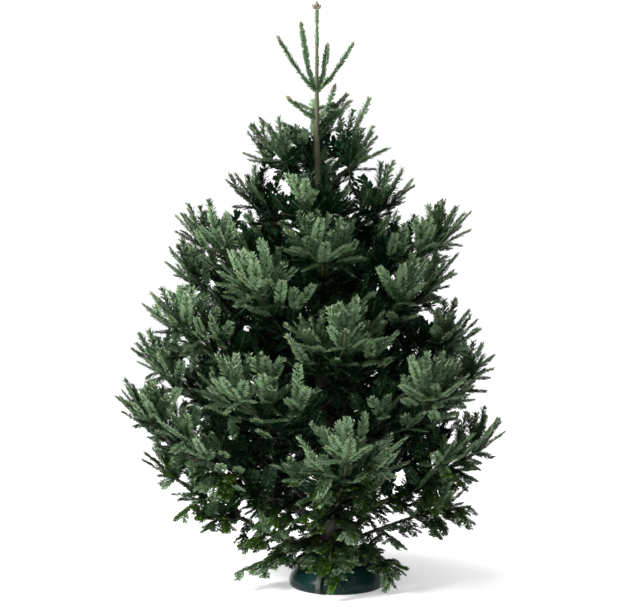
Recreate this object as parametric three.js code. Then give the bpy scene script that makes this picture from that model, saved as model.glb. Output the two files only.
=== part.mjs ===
// A cut fir, grown as a Christmas tree, gripped in a low domed stand.
// Millimetres, +Z up, the front towards -Y. The origin is the centre of the stand's flat underside.
//
// The trunk is one tapering limb from its flat cut in the stand's well to the tip of the leader.
// Boughs leave it in whorls. Each whorl follows its own bowl: a height above the whorl that depends
// only on the distance from the trunk, so one whorl's foliage nests over the next without touching.
import * as THREE from "three";

// ---- Driving dimensions ----

const LEADER_TIP = 1960; // height of the whole object

const STAND = {
  radius: 165,
  rimRadius: 80, // outer edge of the flat ring round the well
  rimHeight: 106,
  wellRadius: 63,
  wellFloor: 44,
  flutes: 8, // shallow hollows round the dome
  fluteDepth: 5,
  // The dome's side from the underside up: how far in from the full radius, and the height.
  side: [
    [14, 0],
    [4, 6],
    [0, 20],
    [5, 40],
    [24, 68],
    [62, 96],
  ],
};

// A claw's first azimuth, its width, and the height at which it bears on the trunk. toe is how
// thick its foot stands on the ring, and head how thick the block at its top is.
const CLAWS = { count: 3, first: -40, width: 17, gripHeight: 128, toe: 13, head: 21 };

// The pedal's outline goes up its outer side and down its inner: how far out from the dome's full
// radius, and the height.
const PEDAL = {
  azimuth: -112,
  width: 19,
  outline: [
    [0.5, 8],
    [9.5, 8],
    [11.5, 22],
    [5.5, 44],
    [-8.5, 64],
    [-15.5, 61],
    [-2.5, 41],
    [1.5, 20],
  ],
};

const TRUNK = {
  foot: STAND.wellFloor + 0.4, // the flat cut stands on the well's floor
  footRadius: 41,
  neck: 1590, // the trunk narrows evenly up to here, and is the thin leader above
  neckRadius: 7.5,
  tipRadius: 3,
  offset: -12, // where the foot stands in the well, along X
  lean: -56, // how far the top has moved from the foot, along X
  upright: 0.8, // share of its height above which it no longer leans further
  sides: 14,
  rings: 20,
};

const TOUCH_GAP = 0.5; // between solids that meet
const SECTOR_FILL = 0.97; // share of its sector that a spray may fill

const SPRAY = {
  stations: 9,
  sides: 10,
  bluntness: 4, // squares off its ends
  broadest: 0.85, // moves its widest place along it
  fullness: 0.75, // keeps its sides full, the lower the fuller
  sweep: 0.3, // draws its sides forward
  notch: 0.1, // how deep its sides are cut between the side shoots
};

const BOUGH_COLLAR = 1.3; // how much thicker a bough is where it meets the trunk

// Azimuths are in degrees, 0 towards +X and -90 to the front. A bough is its azimuth, its reach
// from the trunk and the height of its tip, and slope is how steeply it leaves the trunk.
// inner is where foliage starts, depth half its thickness and breadth half its width over its reach.

// One whorl a year, from the lowest. In a full whorl the boughs are evenly spread, anticlockwise
// from the first, and lengths are their reaches against the whorl's own.
const FULL_WHORLS = [
  {
    height: 235, slope: 0.22, reach: 665, tip: 600, inner: 190, depth: 78,
    first: -85, lengths: [0.97, 0.89, 0.93, 1, 1.12],
  },
  {
    height: 400, slope: 0.38, reach: 640, tip: 752, inner: 62, depth: 92,
    first: -120, lengths: [1, 0.95, 1, 0.97, 1.09],
  },
  {
    height: 560, slope: 0.48, reach: 580, tip: 912, inner: 56, depth: 94,
    first: -84, lengths: [0.97, 0.91, 0.98, 1, 1.08],
  },
  {
    height: 740, slope: 0.52, reach: 515, tip: 1062, inner: 50, depth: 88,
    first: -120, lengths: [1.02, 0.92, 0.98, 1, 1.08],
  },
  {
    height: 925, slope: 0.47, reach: 475, tip: 1178, inner: 44, depth: 86,
    first: -88, lengths: [0.93, 1.08, 0.98, 0.97, 1.06],
  },
];
const FULL_BREADTH = 0.47;

// The young whorls, each with its boughs one by one and the widest sector that one may fill.
const YOUNG_WHORLS = [
  {
    height: 1115,
    slope: 0.6,
    inner: 38,
    depth: 84,
    breadth: 0.44,
    sector: 88,
    boughs: [
      [-100, 315, 1300],
      [-12, 328, 1350],
      [78, 315, 1360],
      [172, 322, 1375],
    ],
  },
  {
    height: 1322,
    slope: 0.75,
    inner: 32,
    depth: 46,
    breadth: 0.27,
    sector: 46,
    boughs: [
      [-153, 254, 1542],
      [-22, 250, 1466],
      [38, 232, 1668],
      [104, 225, 1560],
      [160, 272, 1462],
    ],
  },
];

// Single shoots in two whorls on the thin top: azimuth, reach and tip height.
const SHOOT_RADIUS = 18;
const SHOOT_END = 0.55; // how thick its ends are against its middle
const UPPER_SHOOTS = {
  height: 1582,
  shoots: [
    [-172, 96, 1640],
    [15, 62, 1682],
  ],
};
const TOP_SHOOTS = {
  height: 1673,
  shoots: [
    [-170, 130, 1838],
    [135, 76, 1898],
    [-55, 62, 1812],
    [-6, 122, 1822],
  ],
};

// Old thin boughs under the crown, bare for half their length. Each has its own slope, the last
// of its four numbers: the second droops.
const LOW_BOUGHS = {
  height: 122,
  depth: 46,
  breadth: 0.28,
  inner: 290,
  sector: 90,
  boughs: [
    [172, 655, 440, 0.12],
    [-4, 470, 272, 0.52],
    [115, 560, 350, 0.1],
  ],
};

const LOW_BOUGH_RADII = [9.5, 6]; // at the trunk and where the foliage starts
const MAIN_BOUGH_RADII = [14, 10];
const BOUGH_STEPS = 8; // along a bough, and sides round it

// Small sprigs that hang beside the stand: azimuth, distance of the foot and of the tip from the
// origin, height of the foot and of the tip, half the width and half the depth.
const HANGING_SPRIGS = [
  [-164, 190, 335, 116, 66, 60, 34],
  [-97, 196, 236, 122, 48, 54, 15],
  [-38, 194, 224, 102, 26, 30, 15],
];

// ---- The frame that everything grows on ----

// The trunk's centre line: it leans from its foot and straightens towards the top.
function trunkX(z) {
  const up = (z - TRUNK.foot) / (LEADER_TIP - TRUNK.foot);
  return TRUNK.offset + TRUNK.lean * Math.sin((Math.PI / 2) * Math.min(1, up / TRUNK.upright));
}

function trunkRadius(z) {
  if (z < TRUNK.neck) {
    const up = (z - TRUNK.foot) / (TRUNK.neck - TRUNK.foot);
    return THREE.MathUtils.lerp(TRUNK.footRadius, TRUNK.neckRadius, up);
  }
  const up = (z - TRUNK.neck) / (LEADER_TIP - TRUNK.neck);
  return THREE.MathUtils.lerp(TRUNK.neckRadius, TRUNK.tipRadius, up);
}

// Height above the whorl at a distance r from the trunk, on the bowl that starts with this slope
// and passes through the tip.
function bowl(height, slope, reach, tip) {
  const curl = (tip - height - slope * reach) / reach ** 2;
  return (r) => slope * r + curl * r * r;
}

// A direction from the trunk and the one square to it, both level.
function directions(azimuth) {
  const angle = THREE.MathUtils.degToRad(azimuth);
  return {
    out: new THREE.Vector3(Math.cos(angle), Math.sin(angle), 0),
    side: new THREE.Vector3(Math.sin(angle), -Math.cos(angle), 0),
  };
}

// The same numbers from 0 to 1 on every run, a different row of them for each seed.
function seeded(seed) {
  let state = seed * 2654435761;
  return () => {
    state = (state + 0x6d2b79f5) | 0;
    let t = Math.imul(state ^ (state >>> 15), 1 | state);
    t = (t + Math.imul(t ^ (t >>> 7), 61 | t)) ^ t;
    return ((t ^ (t >>> 14)) >>> 0) / 4294967296;
  };
}

// ---- Materials ----

const MATERIALS = {
  foliage: new THREE.MeshStandardMaterial({ color: 0x2f4a33, roughness: 0.75, metalness: 0 }),
  bark: new THREE.MeshStandardMaterial({ color: 0x5b4a3a, roughness: 0.9, metalness: 0 }),
  stand: new THREE.MeshStandardMaterial({ color: 0x12413f, roughness: 0.35, metalness: 0 }),
  claw: new THREE.MeshStandardMaterial({ color: 0x1d2422, roughness: 0.5, metalness: 0 }),
};

const tree = new THREE.Group();

function addMesh(name, geometry, material) {
  const mesh = new THREE.Mesh(geometry, MATERIALS[material]);
  mesh.name = name;
  tree.add(mesh);
  return mesh;
}

// ---- Shapes ----

// Moves each vertex of a geometry whose axis is Y to place(along, x, z), where along runs from 0
// at the bottom of the axis to 1 at its top. The place decides the shape.
function reshape(geometry, along, place) {
  const position = geometry.getAttribute("position");
  const point = new THREE.Vector3();
  for (let i = 0; i < position.count; i++) {
    point.fromBufferAttribute(position, i);
    const moved = place(along(point), point.x, point.z);
    position.setXYZ(i, moved.x, moved.y, moved.z);
  }
  return geometry;
}

// A limb: a closed cylinder drawn along a path in an upright plane. path(t) gives a point, side is
// the level direction square to that plane, and radius(t) is the limb's own radius.
function limb(path, side, radius, sides, steps) {
  const geometry = new THREE.CylinderGeometry(1, 1, 1, sides, steps);
  return reshape(
    geometry,
    (p) => p.y + 0.5,
    (t, x, z) => {
      const ahead = path(Math.min(1, t + 0.01)).sub(path(Math.max(0, t - 0.01))).normalize();
      const across = side.clone().cross(ahead);
      return path(t).addScaledVector(side, x * radius(t)).addScaledVector(across, z * radius(t));
    },
  );
}

// A spray of foliage on one bough: a sphere drawn out flat along the whorl's bowl, blunt at both
// ends, swept forward at its sides like the side shoots, and scalloped by them.
function spray([azimuth, reach, tip], { height, slope, inner, depth, breadth, sector }, seed) {
  const random = seeded(seed);
  const surface = bowl(height, slope, reach, tip);
  const sectorEdge = Math.tan(THREE.MathUtils.degToRad(sector / 2)) * SECTOR_FILL;
  const { out, side } = directions(azimuth);
  const { stations, sides, bluntness, broadest, fullness, sweep, notch } = SPRAY;
  const cut = (station) => 1 - notch * (1.2 * random() + (station % 2));
  const scallop = Array.from({ length: stations + 1 }, (_, station) => cut(station));
  const geometry = new THREE.SphereGeometry(1, sides, stations);
  return reshape(
    geometry,
    (p) => Math.acos(THREE.MathUtils.clamp(-p.y, -1, 1)) / Math.PI,
    (t, x, z) => {
      const angle = Math.atan2(z, x);
      const thick = Math.sqrt(Math.max(0, 1 - (2 * t - 1) ** bluntness));
      const broad = Math.max(0, Math.sin(Math.PI * t ** broadest)) ** fullness;
      const r = inner + (reach - inner) * (1 - (1 - t) ** (1 + sweep));
      const half = Math.min(breadth * reach * broad * scallop[Math.round(t * stations)], r * sectorEdge);
      const across = half * Math.cos(angle);
      const forward = r + sweep * Math.abs(across) * (1 - t);
      const fromTrunk = Math.hypot(forward, across);
      const up = depth * thick * Math.sin(angle);
      return new THREE.Vector3(trunkX(height), 0, height + surface(fromTrunk) + up)
        .addScaledVector(out, forward)
        .addScaledVector(side, across);
    },
  );
}

// A bare bough from the trunk's bark to where its foliage starts, thickened by a collar at the
// trunk. Its end is square to it, so it starts further out the more it slopes.
function bough([azimuth, reach, tip], { height, slope, inner }, radii) {
  const surface = bowl(height, slope, reach, tip);
  const { out, side } = directions(azimuth);
  const tilt = slope + 0.1; // with a little to spare for the bowl's curl
  const start = trunkRadius(height) + TOUCH_GAP + tilt * BOUGH_COLLAR * radii[0];
  const end = inner - TOUCH_GAP;
  const path = (t) => {
    const r = THREE.MathUtils.lerp(start, end, t);
    return new THREE.Vector3(trunkX(height), 0, height + surface(r)).addScaledVector(out, r);
  };
  const collar = (t) => 1 + (BOUGH_COLLAR - 1) * Math.max(0, 1 - BOUGH_STEPS * t);
  const radius = (t) => collar(t) * THREE.MathUtils.lerp(radii[0], radii[1], t);
  return limb(path, side, radius, BOUGH_STEPS, BOUGH_STEPS);
}

// ---- The stand ----

// The dome is one solid: a flat underside, a shoulder that falls in shallow flutes, a flat ring at
// the top for the claws, and the well that holds the trunk's foot and its water.
function standBase() {
  const { radius, rimRadius, rimHeight, wellRadius, wellFloor, flutes, fluteDepth } = STAND;
  const profile = [
    [0, 0],
    ...STAND.side.map(([inwards, z]) => [radius - inwards, z]),
    [rimRadius, rimHeight],
    [wellRadius, rimHeight],
    [wellRadius, wellFloor],
    [0, wellFloor],
  ].map(([r, z]) => new THREE.Vector2(r, z));
  const geometry = new THREE.LatheGeometry(profile, 6 * flutes);
  const position = geometry.getAttribute("position");
  for (let i = 0; i < position.count; i++) {
    const [x, z, y] = [position.getX(i), position.getY(i), position.getZ(i)];
    const r = Math.hypot(x, y);
    const onShoulder = r > rimRadius + 1 && z > 10;
    const fall = onShoulder ? Math.sin((Math.PI * (r - rimRadius)) / (radius - rimRadius + 10)) : 0;
    const hollow = Math.max(0, Math.cos(flutes * Math.atan2(y, x)));
    const shrink = r > 0 ? 1 - (fluteDepth * fall * hollow) / r : 1;
    position.setXYZ(i, x * shrink, -y * shrink, z);
  }
  return geometry;
}

// An upright plate across the middle, at an azimuth. Its outline is distances from the origin and
// heights.
function standingPlate(outline, width, azimuth) {
  const shape = new THREE.Shape(outline.map(([r, z]) => new THREE.Vector2(r, z)));
  const geometry = new THREE.ExtrudeGeometry(shape, { depth: width, bevelEnabled: false });
  return geometry
    .translate(0, 0, -width / 2)
    .rotateX(Math.PI / 2)
    .rotateZ(THREE.MathUtils.degToRad(azimuth));
}

// A claw stands on the ring and leans in until it bears on the trunk, wherever the trunk stands.
function standClaw(azimuth) {
  const { width, gripHeight, toe, head } = CLAWS;
  const low = gripHeight - 8;
  const along = trunkX(low) * Math.cos(THREE.MathUtils.degToRad(azimuth));
  const grip = along + trunkRadius(low) + TOUCH_GAP;
  const foot = STAND.rimHeight + TOUCH_GAP;
  const outside = STAND.rimRadius;
  const outline = [
    [outside - 1 - toe, foot],
    [outside - 1, foot],
    [outside, gripHeight - 6],
    [outside - 9, gripHeight + 9],
    [grip + 8, low + head],
    [grip, low + 15],
    [grip, low],
    [outside - head, low - 6],
  ];
  return standingPlate(outline, width, azimuth);
}

// The pedal lies close over the dome's front, a slim curved bar that follows the dome's side.
function standPedal() {
  const outline = PEDAL.outline.map(([outwards, z]) => [STAND.radius + outwards, z]);
  return standingPlate(outline, PEDAL.width, PEDAL.azimuth);
}

addMesh("stand_base", standBase(), "stand");
addMesh("stand_pedal", standPedal(), "claw");
for (let i = 0; i < CLAWS.count; i++) {
  addMesh(`stand_claw_${i + 1}`, standClaw(CLAWS.first + (360 / CLAWS.count) * i), "claw");
}

// ---- The tree ----

// The trunk's rings are level, so that its foot is a level cut.
function trunkSolid() {
  const geometry = new THREE.CylinderGeometry(1, 1, 1, TRUNK.sides, TRUNK.rings);
  return reshape(
    geometry,
    (p) => p.y + 0.5,
    (t, x, z) => {
      const height = THREE.MathUtils.lerp(TRUNK.foot, LEADER_TIP, t);
      const radius = trunkRadius(height);
      return new THREE.Vector3(trunkX(height) + x * radius, -z * radius, height);
    },
  );
}

addMesh("trunk", trunkSolid(), "bark");

LOW_BOUGHS.boughs.forEach((lowBough, i) => {
  const low = { ...LOW_BOUGHS, slope: lowBough[3] };
  addMesh(`low_bough_${i + 1}`, bough(lowBough, low, LOW_BOUGH_RADII), "bark");
  addMesh(`low_spray_${i + 1}`, spray(lowBough, low, 90 + i), "foliage");
});

// The boughs of a full whorl, all on one bowl.
function evenlySpread({ height, slope, reach, tip, first, lengths }) {
  const surface = bowl(height, slope, reach, tip);
  return lengths.map((length, i) => {
    const own = length * reach;
    return [first + (360 / lengths.length) * i, own, height + surface(own)];
  });
}

const fullWhorls = FULL_WHORLS.map((whorl) => ({
  ...whorl,
  boughs: evenlySpread(whorl),
  breadth: FULL_BREADTH,
  sector: 360 / whorl.lengths.length,
}));

// Only the lowest full whorl shows its bare boughs.
fullWhorls[0].boughs.forEach((mainBough, i) => {
  addMesh(`main_bough_${i + 1}`, bough(mainBough, fullWhorls[0], MAIN_BOUGH_RADII), "bark");
});

[...fullWhorls, ...YOUNG_WHORLS].forEach((whorl, w) => {
  whorl.boughs.forEach((each, i) => {
    addMesh(`spray_${w + 1}_${i + 1}`, spray(each, whorl, 10 * w + i + 1), "foliage");
  });
});

// A shoot stands straight out from the trunk and up, thickest in the middle.
function shoot([azimuth, reach, tip], height) {
  const { out, side } = directions(azimuth);
  const start = trunkRadius(height) + SHOOT_RADIUS;
  const path = (t) => {
    const r = THREE.MathUtils.lerp(start, reach, t);
    return new THREE.Vector3(trunkX(height), 0, THREE.MathUtils.lerp(height, tip, t)).addScaledVector(out, r);
  };
  const radius = (t) => SHOOT_RADIUS * THREE.MathUtils.lerp(SHOOT_END, 1, Math.sin(Math.PI * t));
  return limb(path, side, radius, 8, 5);
}

UPPER_SHOOTS.shoots.forEach((each, i) => {
  addMesh(`upper_shoot_${i + 1}`, shoot(each, UPPER_SHOOTS.height), "foliage");
});
TOP_SHOOTS.shoots.forEach((each, i) => {
  addMesh(`top_shoot_${i + 1}`, shoot(each, TOP_SHOOTS.height), "foliage");
});

HANGING_SPRIGS.forEach(([azimuth, inner, reach, from, to, width, depth], i) => {
  const { out, side } = directions(azimuth);
  const geometry = new THREE.SphereGeometry(1, 8, 6);
  reshape(
    geometry,
    (p) => (1 + p.y) / 2,
    (t, x, z) =>
      new THREE.Vector3(0, 0, THREE.MathUtils.lerp(from, to, t) + depth * z)
        .addScaledVector(out, THREE.MathUtils.lerp(inner, reach, t))
        .addScaledVector(side, width * x),
  );
  addMesh(`hanging_sprig_${i + 1}`, geometry, "foliage");
});

export default tree;
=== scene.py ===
"""A cut fir in its domed stand: wood, twigs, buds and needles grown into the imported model's masses.

Each mass of foliage in the frame is one bough's room. A bough is grown through it from the trunk,
one shoot a year, and each year's end puts out side shoots that are themselves grown in the same
way for as long as the room lasts. Needles, twigs and buds are then set along every shoot.
"""

import itertools
import math
import random
from dataclasses import dataclass
from functools import lru_cache

import bmesh
import bpy
import numpy as np
from bpy.props import FloatProperty, FloatVectorProperty, IntProperty, PointerProperty
from bpy.types import Operator, Panel, PropertyGroup
from mathutils import Matrix, Vector, noise
from mathutils.bvhtree import BVHTree


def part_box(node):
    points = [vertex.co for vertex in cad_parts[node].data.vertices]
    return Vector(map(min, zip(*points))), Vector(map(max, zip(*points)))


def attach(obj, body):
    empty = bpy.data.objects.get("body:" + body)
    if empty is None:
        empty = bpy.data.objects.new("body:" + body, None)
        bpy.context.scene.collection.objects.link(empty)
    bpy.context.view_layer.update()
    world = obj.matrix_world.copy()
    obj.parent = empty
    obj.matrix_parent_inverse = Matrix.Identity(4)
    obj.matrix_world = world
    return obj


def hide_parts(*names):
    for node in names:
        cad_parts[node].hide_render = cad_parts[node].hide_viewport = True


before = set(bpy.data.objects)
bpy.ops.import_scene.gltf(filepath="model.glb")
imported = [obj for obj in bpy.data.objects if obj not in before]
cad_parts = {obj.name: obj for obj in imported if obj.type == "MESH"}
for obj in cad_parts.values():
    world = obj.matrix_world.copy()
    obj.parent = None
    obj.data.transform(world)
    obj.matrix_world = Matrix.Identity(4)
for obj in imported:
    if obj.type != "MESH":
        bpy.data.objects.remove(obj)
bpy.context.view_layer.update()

bl_info = {
    "name": "Cut Fir in a Stand",
    "version": (1, 0, 0),
    "blender": (4, 5, 0),
    "location": "View3D > Sidebar > Fir",
    "description": "Grows a cut fir's wood, twigs, buds and needles, and finishes its stand",
    "category": "Object",
}

UPWARDS = np.array([0.0, 0.0, 1.0])

# The most triangles in one joined piece of needles.
PIECE_TRIANGLES = 196000

# Heights up the trunk: where its young top and its leader begin, and up to which needles are yellower.
YOUNG_TOP = 1.3
LEADER_FOOT = 1.5
LOWEST_NEEDLES = 0.42

# How far shoots may grow past the skin of their mass, and how much room its ends give at least.
SLACK = 0.03
LEAST_WIDTH = 0.14
LEAST_DEPTH = 0.09
LEAST_RISE = 0.17
TIP_ROUNDING = 0.14
PROBE_STEP = 0.008
TIP_GAP = 0.01  # how far short of a mass's end its bough stops


# ---------------------------------------------------------------- settings


def a_size(name, description, default):
    """A length that a user may change."""
    return FloatProperty(name=name, description=description, default=default, unit="LENGTH")


def a_colour(name, description, *default):
    """A colour that a user may change."""
    return FloatVectorProperty(name=name, description=description, subtype="COLOR", size=3, default=default)


class FirFoliageSettings(PropertyGroup):
    """Sizes and colours of the shoots and needles."""

    seed: IntProperty(name="Seed", description="Which tree of its kind is grown", default=11)
    infill: FloatProperty(
        name="Infill",
        description="How often each litre of a mass is tried for room for one more shoot",
        default=55.0,
    )
    shoot_gap: a_size("Shoot Gap", "How near to another a shoot may grow", 0.028)
    shoot_length: a_size("Shoot Length", "Growth of a strong bough in one year", 0.098)
    needle_length: a_size("Needle Length", "The longest needles", 0.027)
    needle_width: a_size("Needle Width", "A needle at its widest", 0.0046)
    needle_pitch: a_size("Needle Pitch", "Length of shoot for each needle", 0.00064)
    # Old needles' dark green, which is also given to every needle deep in the crown as painted shade.
    upper_dark: a_colour("Old Needles", "Needles some years old or in shade", 0.005, 0.022, 0.007)
    upper_mid: a_colour("Needles", "Most needles", 0.036, 0.072, 0.030)
    # This year's lighter green, kept to outer shoots and given to the top shoots, also paints light on the
    # crown's lit outside.
    upper_fresh: a_colour("Fresh Needles", "Needles of this year's brighter shoots", 0.136, 0.222, 0.114)
    upper_yellow: a_colour("Low Needles", "Yellower needles near the ground", 0.040, 0.088, 0.008)
    under_pale: a_colour("Pale Undersides", "A few needles at the newest tips", 0.200, 0.270, 0.160)
    # A dark colour for the needles that hang below a shoot: painted shade under the spray.
    under_dull: a_colour("Dull Undersides", "Needles that hang below a shoot", 0.014, 0.034, 0.012)


class FirWoodSettings(PropertyGroup):
    """Colours and relief of the trunk, boughs, twigs and buds."""

    old_bark: a_colour("Old Bark", "Bark at the foot of the trunk", 0.024, 0.022, 0.012)
    young_bark: a_colour("Young Bark", "Bark near the top and at the ends of boughs", 0.070, 0.072, 0.030)
    young_twig: a_colour("Young Twigs", "Twigs of the last two years", 0.040, 0.062, 0.028)
    bud: a_colour("Buds", "Bud scales", 0.15, 0.12, 0.075)
    relief: a_size("Bark Relief", "Height of the bark's swellings on the trunk", 0.0016)


class FirStandSettings(PropertyGroup):
    """Colours and finer sizes of the stand."""

    shell: a_colour("Shell", "The dome's plastic", 0.004, 0.024, 0.021)
    fittings: a_colour("Fittings", "Claws and pedal", 0.005, 0.006, 0.006)
    panels: IntProperty(name="Panels", description="Shallow hollows round the dome", default=8)
    panel_depth: a_size("Panel Depth", "How deep the hollows are", 0.005)


class FirStageSettings(PropertyGroup):
    """The floor and the camera."""

    floor: a_colour("Floor", "The floor's paper", 0.92, 0.92, 0.92)
    camera_height: a_size("Camera Height", "Above the floor", 1.15)
    camera_distance: a_size("Camera Distance", "From the trunk", 4.9)


# ---------------------------------------------------------------- reading the frame


def corners(node):
    """All the corners of a CAD node's mesh."""
    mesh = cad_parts[node].data
    co = np.empty(len(mesh.vertices) * 3)
    mesh.vertices.foreach_get("co", co)
    return co.reshape(-1, 3)


def nodes_called(*beginnings):
    return sorted(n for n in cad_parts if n.startswith(beginnings))


class TrunkLine:
    """The trunk's centre and radius at any height, read from its rings."""

    SPRIG_FOOT = 0.8  # how far from the trunk's centre a sprig starts, as a share of the radius

    def __init__(self):
        co = corners("trunk")
        self.heights = np.unique(np.round(co[:, 2], 4))
        rings = [co[np.abs(co[:, 2] - h) < 1e-3] for h in self.heights]
        lows = np.array([ring[:, :2].min(0) for ring in rings])
        highs = np.array([ring[:, :2].max(0) for ring in rings])
        self.centres = (lows + highs) / 2
        self.radii = (highs - lows).mean(1) / 2

    def centre(self, height):
        x = np.interp(height, self.heights, self.centres[:, 0])
        y = np.interp(height, self.heights, self.centres[:, 1])
        return np.stack([x, y, np.asarray(height, float)], -1)

    def radius(self, height):
        return float(np.interp(height, self.heights, self.radii))

    def foothold(self, height, azimuth):
        """Where a sprig starts, a little under the bark, and the way out from there."""
        out = np.array([math.cos(azimuth), math.sin(azimuth), 0.0])
        return self.centre(height) + out * self.radius(height) * self.SPRIG_FOOT, out


TRUNK = TrunkLine()


class Room:
    """The room that one mass gives to its bough: a flat body round a line that curves upwards."""

    STATIONS = 13
    FAR = 3.0  # well outside the tree, to shoot rays from

    def __init__(self, node):
        self.node = node
        co = corners(node)
        away = np.linalg.norm((co - TRUNK.centre(co[:, 2]))[:, :2], axis=1)
        self.foot = co[away.argmin()]
        tip = co[away.argmax()]
        level = (tip - self.foot) * (1, 1, 0)
        self.length = float(np.linalg.norm(level))
        self.out = level / self.length
        self.side = np.array([self.out[1], -self.out[0], 0])
        self.inner = float(away.min())
        self.measure()

    def measure(self):
        """Shoots rays at the solid to find its line, its depth and its width."""
        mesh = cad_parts[self.node].data
        tree = BVHTree.FromPolygons([v.co for v in mesh.vertices], [p.vertices for p in mesh.polygons])
        self.u = np.linspace(0.02, 0.98, self.STATIONS) * self.length
        middle, self.depth, self.width = [], [], []
        upwards, side = Vector(UPWARDS), Vector(self.side)
        for u in self.u:
            at = Vector(self.foot + self.out * u)
            top = tree.ray_cast(Vector((at.x, at.y, self.FAR)), -upwards)[0].z
            bottom = tree.ray_cast(Vector((at.x, at.y, -self.FAR)), upwards)[0].z
            at.z = (top + bottom) / 2
            hits = [tree.ray_cast(at + side * way * self.FAR, -side * way)[0] for way in (1, -1)]
            middle.append(at.z)
            self.depth.append((top - bottom) / 2)
            self.width.append(sum((hit - at).length for hit in hits if hit) / 2)
        self.curve = np.polyfit(self.u, middle, 2)
        to_tip = np.clip((self.u - self.length) / TIP_ROUNDING + 1, 0, 1)
        rounding = np.sqrt(1 - to_tip**2)
        self.width = np.maximum(self.width, LEAST_WIDTH * rounding * min(1, self.length / 0.4))
        self.depth = np.maximum(self.depth, LEAST_DEPTH * rounding)
        self.rise = np.maximum(self.depth, LEAST_RISE * rounding)

    def height(self, along):
        return np.polyval(self.curve, along)

    def line(self, along):
        """Points on the bough's own line."""
        along = np.asarray(along, float)
        points = self.foot + np.multiply.outer(along, self.out)
        points[..., 2] = self.height(along)
        return points

    def fill(self, points):
        """How near the skin each point is: under 1 inside, over 1 outside."""
        rel = np.asarray(points) - self.foot
        u = rel @ self.out
        v = rel @ self.side
        along = np.hypot(self.inner + u, v) - self.inner
        up = rel[..., 2] + self.foot[2] - self.height(along)
        width = np.interp(u, self.u, self.width) + SLACK
        depth = np.where(up > 0, np.interp(u, self.u, self.rise), np.interp(u, self.u, self.depth)) + SLACK
        beyond = np.maximum(0, np.abs(u - self.length / 2) - self.length / 2) / SLACK
        return np.hypot(v / width, up / depth) + beyond

    def size(self):
        """Rough volume in litres."""
        return float(4 * self.length * self.width.mean() * self.depth.mean() * 1000)

    def chance_place(self, rng):
        """A place in the room, seldom in its inner part."""
        while True:
            u = self.length * (1 - 0.85 * rng.random() ** 1.4)
            width = float(np.interp(u, self.u, self.width))
            depth, rise = (float(np.interp(u, self.u, d)) for d in (self.depth, self.rise))
            v, up = rng.uniform(-width, width), rng.uniform(-depth, rise)
            if math.hypot(v / width, up / (rise if up > 0 else depth)) < 1:
                along = np.hypot(self.inner + u, v) - self.inner
                place = self.foot + self.out * u + self.side * v
                place[2] = self.height(along) + up
                return place

    def way_out(self, start, direction, most):
        """How far a straight shoot can grow before it leaves the room."""
        steps = np.arange(PROBE_STEP, most, PROBE_STEP)
        outside = self.fill(start + np.multiply.outer(steps, direction)) > 1
        return float(steps[outside.argmax()]) if outside.any() else most


# ---------------------------------------------------------------- growing


def unit(v):
    return v / max(1e-9, float(np.linalg.norm(v)))


def turned(v, axis, angle):
    """v turned about a unit axis."""
    c, s = math.cos(angle), math.sin(angle)
    return v * c + np.cross(axis, v) * s + axis * (axis @ v) * (1 - c)


def face_up(direction, lean):
    """The upper side of a shoot that grows this way, on a fan that leans this way."""
    wanted = lean + UPWARDS * 0.6
    return unit(wanted - direction * (wanted @ direction))


@dataclass
class Shoot:
    """One year's growth: a straight length of twig. age is 0 for this year's."""

    start: np.ndarray
    end: np.ndarray
    up: np.ndarray
    age: int
    tone: float
    wood: bool = True
    cover: float = 1.0  # share of the usual number of needles
    size: float = 1.0  # needle length against the usual
    coarse: float = 1.0  # how much wider and fewer the needles are than the usual
    spread: float = 1.0  # how far needles stand out against the usual
    brush: float = 0.0  # share of needles that stand all round rather than in a flat spray
    bud: float = 1.0


@dataclass
class Limb:
    """The line of a thick limb, with its radius at each point, and where along it is young."""

    points: np.ndarray
    radii: np.ndarray
    youth: np.ndarray


@dataclass
class Sprout:
    """A side branch that may grow: where, which way, and how much at most."""

    start: np.ndarray
    heading: np.ndarray
    lean: np.ndarray
    years: int
    length: float


class Crowd:
    """Where shoots already are, so that new ones grow into free air."""

    def __init__(self, gap):
        self.gap = gap
        self.cells = {}

    def cell(self, point):
        return tuple(int(c) for c in point // self.gap)

    def near(self, point):
        x, y, z = self.cell(point)
        around = itertools.product((x - 1, x, x + 1), (y - 1, y, y + 1), (z - 1, z, z + 1))
        return [other for key in around for other in self.cells.get(key, ())]

    def free(self, start, end):
        for share in (0.6, 1.0):
            point = start + (end - start) * share
            if any(np.linalg.norm(other - point) < self.gap for other in self.near(point)):
                return False
        return True

    def add(self, start, end):
        for share in (0.4, 0.7, 1.0):
            point = start + (end - start) * share
            self.cells.setdefault(self.cell(point), []).append(point)


SIDE_ANGLE = math.radians(48)
SIDE_SHARE, LOW_SIDE_SHARE = 0.96, 0.6  # a side branch's yearly growth against its bough's
YEARLY_LOSS = 0.95  # a side branch's growth against that of the one it grows from
ABOVE_AND_BELOW = ((1, 0.75), (-1, 0.6))  # which way, and how often, besides the flat pair
BETWEEN_YEARS = (0.33, 0.66)  # where along a year's growth weaker side shoots start
BETWEEN_CHANCE = 0.5
ORDERS = 4
SHORTEST = 0.04
OLDEST_SIDE_SHOOTS = 4  # years
LOW_DROOP = 0.18
SHADE = 0.62  # light under which shoots are shaded, with needles that are coarser and fewer and a dark colour that paints their shade
SHADE_COARSE = 2.2
# A shaded shoot's tone is lowered, so its needles keep the painted shade's dark colour and are not made
# yellow near the ground.
SHADE_TONE = 0.3
RISE = (0.55, 0.25, 0.08)  # how strongly shoots turn upwards, by age
OUTWARDS = 0.06  # how strongly they turn away from the trunk
BEARING = -0.06  # how far inside its mass a bough already bears side branches


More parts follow.
